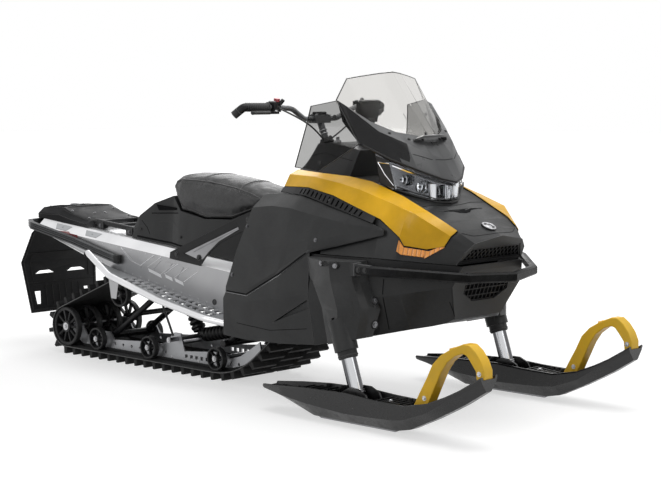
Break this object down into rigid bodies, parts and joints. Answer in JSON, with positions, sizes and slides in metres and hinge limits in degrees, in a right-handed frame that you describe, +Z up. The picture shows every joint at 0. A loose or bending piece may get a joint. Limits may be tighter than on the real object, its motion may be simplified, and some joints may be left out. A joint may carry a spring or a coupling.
{
  "type": "snowmobile",
  "caption": "Utility snowmobile with a lugged track, steered skis, padded seat, faceted nose, clear windshield and rear cargo deck.",
  "frame": {"origin": "on the ground, under the middle of the length and width", "axes": "+X forward to the ski tips, +Y to the driver's left, +Z up"},
  "size_m": [3.06, 1.072, 1.327],
  "materials": {
    "rubber_black": "worn moulded rubber",
    "wheel_black": "moulded nylon with a rubber rim",
    "steel_grey": "machined steel",
    "aluminium": "satin extruded aluminium",
    "plastic_black": "grained moulded plastic",
    "steel_black": "black powder coat",
    "tunnel_silver": "folded sheet aluminium",
    "bar_grey": "grey powder coat",
    "lens_red": "dark red prismatic lens",
    "body_grey": "satin dark grey moulded plastic",
    "screen_clear": "clear polycarbonate",
    "screen_smoked": "smoked polycarbonate",
    "lens_clear": "clear lamp lens over bright reflectors",
    "reflector_chrome": "vacuum plated reflector in a moulded body",
    "lens_amber": "amber ribbed lens",
    "cast_grey": "cast housing",
    "vinyl_black": "grained vinyl",
    "cable_black": "sheathed cable",
    "accent_yellow": "golden yellow gloss plastic",
    "leg_chrome": "chromed steel",
    "ski_black": "moulded black plastic"
  },
  "bodies": {
    "chassis": {"track": "rubber_black", "skid_wheels": "wheel_black", "drive_axle": "steel_grey", "rails": "aluminium", "sliders": "plastic_black", "wheel_axles": "steel_grey", "skid_arms": "steel_black", "skid_springs": "steel_black", "tunnel": "tunnel_silver", "snow_flap": "rubber_black", "rear_bumper": "bar_grey", "red_lamps": "lens_red", "rear_deck": "plastic_black", "cargo_rack": "steel_black", "belly_pan": "body_grey", "hood": "body_grey", "console": "plastic_black", "visor": "body_grey", "windshield": "screen_clear", "headlamp": "reflector_chrome", "lamp_lens": "lens_clear", "marker_lamps": "lens_amber", "grille": "plastic_black", "lower_grille": "plastic_black", "front_bumper": "steel_black", "engine": "cast_grey", "instrument": "plastic_black", "front_frame": "steel_black", "seat_base": "plastic_black", "seat_cushion": "vinyl_black", "side_panels": "body_grey", "lower_panels": "body_grey", "accent_panels": "accent_yellow", "side_vents": "plastic_black", "side_screens": "screen_smoked", "strut_housings": "body_grey", "running_boards": "tunnel_silver", "board_rails": "tunnel_silver", "side_frames": "plastic_black"},
    "steering_bar": {"handlebar": "bar_grey", "grips": "rubber_black", "controls": "plastic_black", "control_cables": "cable_black"},
    "spindle_l": {"leg_l": "leg_chrome"},
    "spindle_r": {"leg_r": "leg_chrome"},
    "ski_set_l": {"ski_l": "ski_black", "ski_handle_l": "accent_yellow", "ski_runner_l": "steel_grey"},
    "ski_set_r": {"ski_r": "ski_black", "ski_handle_r": "accent_yellow", "ski_runner_r": "steel_grey"}
  },
  "joints": [
    {"name": "steering", "type": "hinge", "parent": "chassis", "child": "steering_bar", "pos_m": [0.325, 0, 0.992], "axis": [-0.4067, 0, 0.9135], "range_deg": [-35, 35]},
    {"name": "spindle_turn_l", "type": "hinge", "parent": "chassis", "child": "spindle_l", "pos_m": [0.907, 0.462, 0.109], "axis": [-0.3223, 0, 0.9466], "range_deg": [-30, 30]},
    {"name": "ski_pitch_l", "type": "hinge", "parent": "spindle_l", "child": "ski_set_l", "pos_m": [0.9196, 0.462, 0.072], "axis": [0, 1, 0], "range_deg": [-12, 10]},
    {"name": "spindle_turn_r", "type": "hinge", "parent": "chassis", "child": "spindle_r", "pos_m": [0.907, -0.462, 0.109], "axis": [-0.3223, 0, 0.9466], "range_deg": [-30, 30]},
    {"name": "ski_pitch_r", "type": "hinge", "parent": "spindle_r", "child": "ski_set_r", "pos_m": [0.9196, -0.462, 0.072], "axis": [0, 1, 0], "range_deg": [-12, 10]}
  ],
  "couplings": [
    {"joint": "spindle_turn_l", "follows": "steering", "ratio": 0.85},
    {"joint": "spindle_turn_r", "follows": "steering", "ratio": 0.85}
  ]
}
